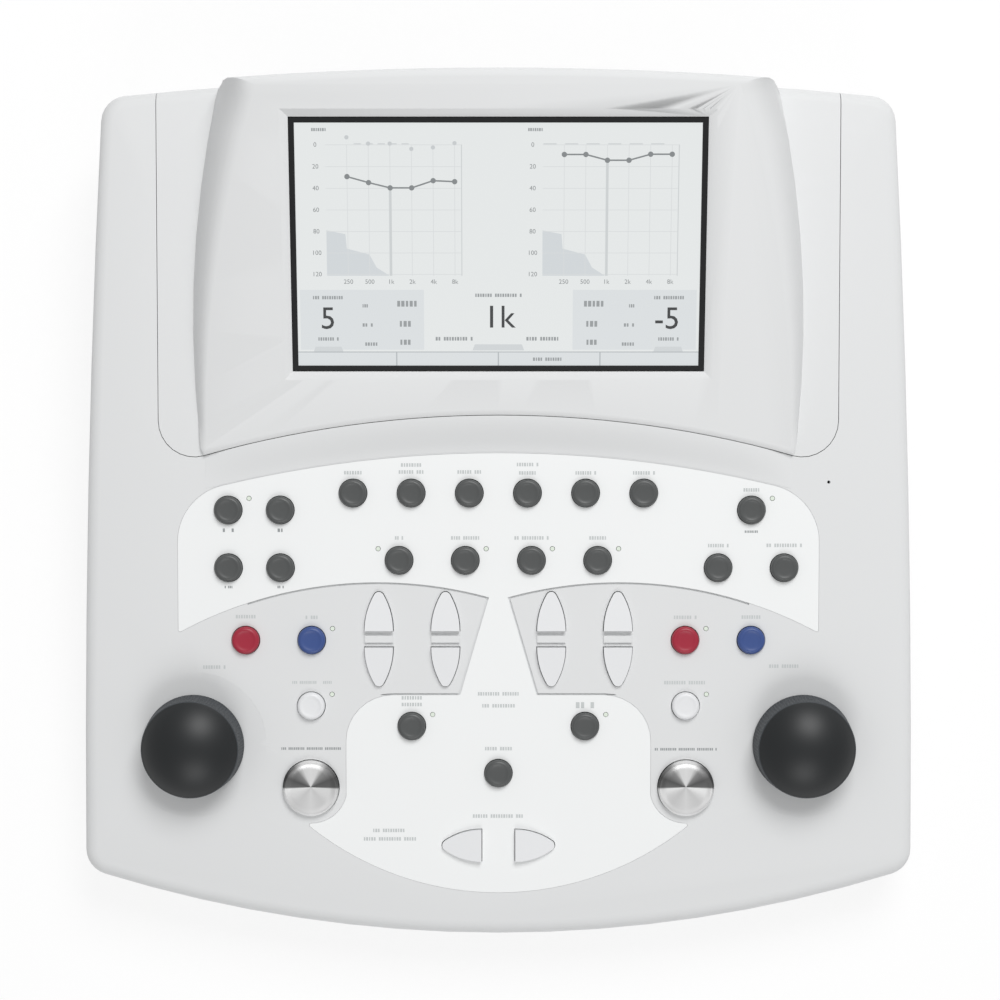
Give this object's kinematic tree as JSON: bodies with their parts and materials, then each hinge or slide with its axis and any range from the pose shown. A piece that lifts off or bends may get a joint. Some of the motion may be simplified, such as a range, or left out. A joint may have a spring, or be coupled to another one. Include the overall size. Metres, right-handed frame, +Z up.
{
  "type": "audiometer",
  "caption": "Low, wide desktop audiometer with a raised display hood, round and arrow-shaped keys, steel interrupter keys and large rotary dials.",
  "frame": {"origin": "centre of the footprint's box, on the table the feet stand on", "axes": "+X to the user's right, +Y to the back, +Z up"},
  "size_m": [0.36, 0.37, 0.0951],
  "materials": {
    "housing_grey": "fine matt texture, moulded",
    "overlay_white": "printed satin film",
    "gloss_black": "gloss",
    "clear_window": "clear",
    "screen": "lit display",
    "silicone": "satin",
    "board_green": "solder mask",
    "encoder_metal": "plated",
    "plate_grey": "satin paint",
    "socket_black": "matt",
    "plated_steel": "plated",
    "foot_rubber": "matt",
    "lamp_clear": "clear lens",
    "key_dark": "satin",
    "key_red": "satin",
    "key_blue": "satin",
    "key_white": "satin",
    "key_steel": "spun, radial sheen",
    "dial_dark": "soft matt"
  },
  "bodies": {
    "desk_unit": {"bottom_housing": "housing_grey", "top_housing": "housing_grey", "display_hood": "housing_grey", "control_overlay": "overlay_white", "display_frame": "gloss_black", "display_window": "clear_window", "display_panel": "screen", "keymat": "silicone", "keypad_board": "board_green", "dial_encoders": "encoder_metal", "connector_plate": "plate_grey", "jack_sockets": "socket_black", "main_board": "board_green", "power_inlet": "socket_black", "usb_socket": "plated_steel", "feet": "foot_rubber", "m3_screws": "plated_steel", "indicator_leds": "lamp_clear", "talkback_microphone": "socket_black"},
    "left_key_1": {"left_key_1": "key_dark"},
    "left_key_2": {"left_key_2": "key_dark"},
    "left_key_3": {"left_key_3": "key_dark"},
    "left_key_4": {"left_key_4": "key_dark"},
    "top_key_1": {"top_key_1": "key_dark"},
    "top_key_2": {"top_key_2": "key_dark"},
    "top_key_3": {"top_key_3": "key_dark"},
    "top_key_4": {"top_key_4": "key_dark"},
    "top_key_5": {"top_key_5": "key_dark"},
    "top_key_6": {"top_key_6": "key_dark"},
    "middle_key_1": {"middle_key_1": "key_dark"},
    "middle_key_2": {"middle_key_2": "key_dark"},
    "middle_key_3": {"middle_key_3": "key_dark"},
    "middle_key_4": {"middle_key_4": "key_dark"},
    "right_key_1": {"right_key_1": "key_dark"},
    "right_key_2": {"right_key_2": "key_dark"},
    "right_key_3": {"right_key_3": "key_dark"},
    "centre_key_1": {"centre_key_1": "key_dark"},
    "centre_key_2": {"centre_key_2": "key_dark"},
    "centre_key_3": {"centre_key_3": "key_dark"},
    "left_red_key": {"left_red_key": "key_red"},
    "right_red_key": {"right_red_key": "key_red"},
    "left_blue_key": {"left_blue_key": "key_blue"},
    "right_blue_key": {"right_blue_key": "key_blue"},
    "left_white_key": {"left_white_key": "key_white"},
    "right_white_key": {"right_white_key": "key_white"},
    "left_interrupter": {"left_interrupter": "key_steel"},
    "right_interrupter": {"right_interrupter": "key_steel"},
    "level_up_key_1": {"level_up_key_1": "key_white"},
    "level_up_key_2": {"level_up_key_2": "key_white"},
    "level_up_key_3": {"level_up_key_3": "key_white"},
    "level_up_key_4": {"level_up_key_4": "key_white"},
    "level_down_key_1": {"level_down_key_1": "key_white"},
    "level_down_key_2": {"level_down_key_2": "key_white"},
    "level_down_key_3": {"level_down_key_3": "key_white"},
    "level_down_key_4": {"level_down_key_4": "key_white"},
    "frequency_down_key": {"frequency_down_key": "key_white"},
    "frequency_up_key": {"frequency_up_key": "key_white"},
    "left_dial": {"left_dial": "dial_dark"},
    "right_dial": {"right_dial": "dial_dark"},
    "power_rocker": {"power_rocker": "socket_black"}
  },
  "joints": [
    {"name": "left_key_1_press", "type": "slide", "parent": "desk_unit", "child": "left_key_1", "axis": [0, -0.0872, 0.9962], "range_m": [-0.0012, 0], "stiffness_N_per_m": 800, "springref_m": 0.0005},
    {"name": "left_key_2_press", "type": "slide", "parent": "desk_unit", "child": "left_key_2", "axis": [0, -0.0872, 0.9962], "range_m": [-0.0012, 0], "stiffness_N_per_m": 800, "springref_m": 0.0005},
    {"name": "left_key_3_press", "type": "slide", "parent": "desk_unit", "child": "left_key_3", "axis": [0, -0.0872, 0.9962], "range_m": [-0.0012, 0], "stiffness_N_per_m": 800, "springref_m": 0.0005},
    {"name": "left_key_4_press", "type": "slide", "parent": "desk_unit", "child": "left_key_4", "axis": [0, -0.0872, 0.9962], "range_m": [-0.0012, 0], "stiffness_N_per_m": 800, "springref_m": 0.0005},
    {"name": "top_key_1_press", "type": "slide", "parent": "desk_unit", "child": "top_key_1", "axis": [0, -0.0872, 0.9962], "range_m": [-0.0012, 0], "stiffness_N_per_m": 800, "springref_m": 0.0005},
    {"name": "top_key_2_press", "type": "slide", "parent": "desk_unit", "child": "top_key_2", "axis": [0, -0.0872, 0.9962], "range_m": [-0.0012, 0], "stiffness_N_per_m": 800, "springref_m": 0.0005},
    {"name": "top_key_3_press", "type": "slide", "parent": "desk_unit", "child": "top_key_3", "axis": [0, -0.0872, 0.9962], "range_m": [-0.0012, 0], "stiffness_N_per_m": 800, "springref_m": 0.0005},
    {"name": "top_key_4_press", "type": "slide", "parent": "desk_unit", "child": "top_key_4", "axis": [0, -0.0872, 0.9962], "range_m": [-0.0012, 0], "stiffness_N_per_m": 800, "springref_m": 0.0005},
    {"name": "top_key_5_press", "type": "slide", "parent": "desk_unit", "child": "top_key_5", "axis": [0, -0.0872, 0.9962], "range_m": [-0.0012, 0], "stiffness_N_per_m": 800, "springref_m": 0.0005},
    {"name": "top_key_6_press", "type": "slide", "parent": "desk_unit", "child": "top_key_6", "axis": [0, -0.0872, 0.9962], "range_m": [-0.0012, 0], "stiffness_N_per_m": 800, "springref_m": 0.0005},
    {"name": "middle_key_1_press", "type": "slide", "parent": "desk_unit", "child": "middle_key_1", "axis": [0, -0.0872, 0.9962], "range_m": [-0.0012, 0], "stiffness_N_per_m": 800, "springref_m": 0.0005},
    {"name": "middle_key_2_press", "type": "slide", "parent": "desk_unit", "child": "middle_key_2", "axis": [0, -0.0872, 0.9962], "range_m": [-0.0012, 0], "stiffness_N_per_m": 800, "springref_m": 0.0005},
    {"name": "middle_key_3_press", "type": "slide", "parent": "desk_unit", "child": "middle_key_3", "axis": [0, -0.0872, 0.9962], "range_m": [-0.0012, 0], "stiffness_N_per_m": 800, "springref_m": 0.0005},
    {"name": "middle_key_4_press", "type": "slide", "parent": "desk_unit", "child": "middle_key_4", "axis": [0, -0.0872, 0.9962], "range_m": [-0.0012, 0], "stiffness_N_per_m": 800, "springref_m": 0.0005},
    {"name": "right_key_1_press", "type": "slide", "parent": "desk_unit", "child": "right_key_1", "axis": [0, -0.0872, 0.9962], "range_m": [-0.0012, 0], "stiffness_N_per_m": 800, "springref_m": 0.0005},
    {"name": "right_key_2_press", "type": "slide", "parent": "desk_unit", "child": "right_key_2", "axis": [0, -0.0872, 0.9962], "range_m": [-0.0012, 0], "stiffness_N_per_m": 800, "springref_m": 0.0005},
    {"name": "right_key_3_press", "type": "slide", "parent": "desk_unit", "child": "right_key_3", "axis": [0, -0.0872, 0.9962], "range_m": [-0.0012, 0], "stiffness_N_per_m": 800, "springref_m": 0.0005},
    {"name": "centre_key_1_press", "type": "slide", "parent": "desk_unit", "child": "centre_key_1", "axis": [0, -0.0872, 0.9962], "range_m": [-0.0012, 0], "stiffness_N_per_m": 800, "springref_m": 0.0005},
    {"name": "centre_key_2_press", "type": "slide", "parent": "desk_unit", "child": "centre_key_2", "axis": [0, -0.0872, 0.9962], "range_m": [-0.0012, 0], "stiffness_N_per_m": 800, "springref_m": 0.0005},
    {"name": "centre_key_3_press", "type": "slide", "parent": "desk_unit", "child": "centre_key_3", "axis": [0, -0.0872, 0.9962], "range_m": [-0.0012, 0], "stiffness_N_per_m": 800, "springref_m": 0.0005},
    {"name": "left_red_key_press", "type": "slide", "parent": "desk_unit", "child": "left_red_key", "axis": [0, -0.0872, 0.9962], "range_m": [-0.0012, 0], "stiffness_N_per_m": 800, "springref_m": 0.0005},
    {"name": "right_red_key_press", "type": "slide", "parent": "desk_unit", "child": "right_red_key", "axis": [0, -0.0872, 0.9962], "range_m": [-0.0012, 0], "stiffness_N_per_m": 800, "springref_m": 0.0005},
    {"name": "left_blue_key_press", "type": "slide", "parent": "desk_unit", "child": "left_blue_key", "axis": [0, -0.0872, 0.9962], "range_m": [-0.0012, 0], "stiffness_N_per_m": 800, "springref_m": 0.0005},
    {"name": "right_blue_key_press", "type": "slide", "parent": "desk_unit", "child": "right_blue_key", "axis": [0, -0.0872, 0.9962], "range_m": [-0.0012, 0], "stiffness_N_per_m": 800, "springref_m": 0.0005},
    {"name": "left_white_key_press", "type": "slide", "parent": "desk_unit", "child": "left_white_key", "axis": [0, -0.0872, 0.9962], "range_m": [-0.0012, 0], "stiffness_N_per_m": 800, "springref_m": 0.0005},
    {"name": "right_white_key_press", "type": "slide", "parent": "desk_unit", "child": "right_white_key", "axis": [0, -0.0872, 0.9962], "range_m": [-0.0012, 0], "stiffness_N_per_m": 800, "springref_m": 0.0005},
    {"name": "left_interrupter_press", "type": "slide", "parent": "desk_unit", "child": "left_interrupter", "axis": [0, -0.0872, 0.9962], "range_m": [-0.0012, 0], "stiffness_N_per_m": 800, "springref_m": 0.0005},
    {"name": "right_interrupter_press", "type": "slide", "parent": "desk_unit", "child": "right_interrupter", "axis": [0, -0.0872, 0.9962], "range_m": [-0.0012, 0], "stiffness_N_per_m": 800, "springref_m": 0.0005},
    {"name": "level_up_key_1_press", "type": "slide", "parent": "desk_unit", "child": "level_up_key_1", "axis": [0, -0.0872, 0.9962], "range_m": [-0.0012, 0], "stiffness_N_per_m": 800, "springref_m": 0.0005},
    {"name": "level_up_key_2_press", "type": "slide", "parent": "desk_unit", "child": "level_up_key_2", "axis": [0, -0.0872, 0.9962], "range_m": [-0.0012, 0], "stiffness_N_per_m": 800, "springref_m": 0.0005},
    {"name": "level_up_key_3_press", "type": "slide", "parent": "desk_unit", "child": "level_up_key_3", "axis": [0, -0.0872, 0.9962], "range_m": [-0.0012, 0], "stiffness_N_per_m": 800, "springref_m": 0.0005},
    {"name": "level_up_key_4_press", "type": "slide", "parent": "desk_unit", "child": "level_up_key_4", "axis": [0, -0.0872, 0.9962], "range_m": [-0.0012, 0], "stiffness_N_per_m": 800, "springref_m": 0.0005},
    {"name": "level_down_key_1_press", "type": "slide", "parent": "desk_unit", "child": "level_down_key_1", "axis": [0, -0.0872, 0.9962], "range_m": [-0.0012, 0], "stiffness_N_per_m": 800, "springref_m": 0.0005},
    {"name": "level_down_key_2_press", "type": "slide", "parent": "desk_unit", "child": "level_down_key_2", "axis": [0, -0.0872, 0.9962], "range_m": [-0.0012, 0], "stiffness_N_per_m": 800, "springref_m": 0.0005},
    {"name": "level_down_key_3_press", "type": "slide", "parent": "desk_unit", "child": "level_down_key_3", "axis": [0, -0.0872, 0.9962], "range_m": [-0.0012, 0], "stiffness_N_per_m": 800, "springref_m": 0.0005},
    {"name": "level_down_key_4_press", "type": "slide", "parent": "desk_unit", "child": "level_down_key_4", "axis": [0, -0.0872, 0.9962], "range_m": [-0.0012, 0], "stiffness_N_per_m": 800, "springref_m": 0.0005},
    {"name": "frequency_down_key_press", "type": "slide", "parent": "desk_unit", "child": "frequency_down_key", "axis": [0, -0.0872, 0.9962], "range_m": [-0.0012, 0], "stiffness_N_per_m": 800, "springref_m": 0.0005},
    {"name": "frequency_up_key_press", "type": "slide", "parent": "desk_unit", "child": "frequency_up_key", "axis": [0, -0.0872, 0.9962], "range_m": [-0.0012, 0], "stiffness_N_per_m": 800, "springref_m": 0.0005},
    {"name": "left_dial_turn", "type": "hinge", "parent": "desk_unit", "child": "left_dial", "pos_m": [-0.1317, -0.1017, 0.04078], "axis": [0, -0.0872, 0.9962], "continuous": true},
    {"name": "right_dial_turn", "type": "hinge", "parent": "desk_unit", "child": "right_dial", "pos_m": [0.1317, -0.1017, 0.04078], "axis": [0, -0.0872, 0.9962], "continuous": true},
    {"name": "power_rocker_tilt", "type": "hinge", "parent": "desk_unit", "child": "power_rocker", "pos_m": [0.1, 0.175, 0.028], "axis": [1, 0, 0], "range_deg": [-14, 0]}
  ]
}
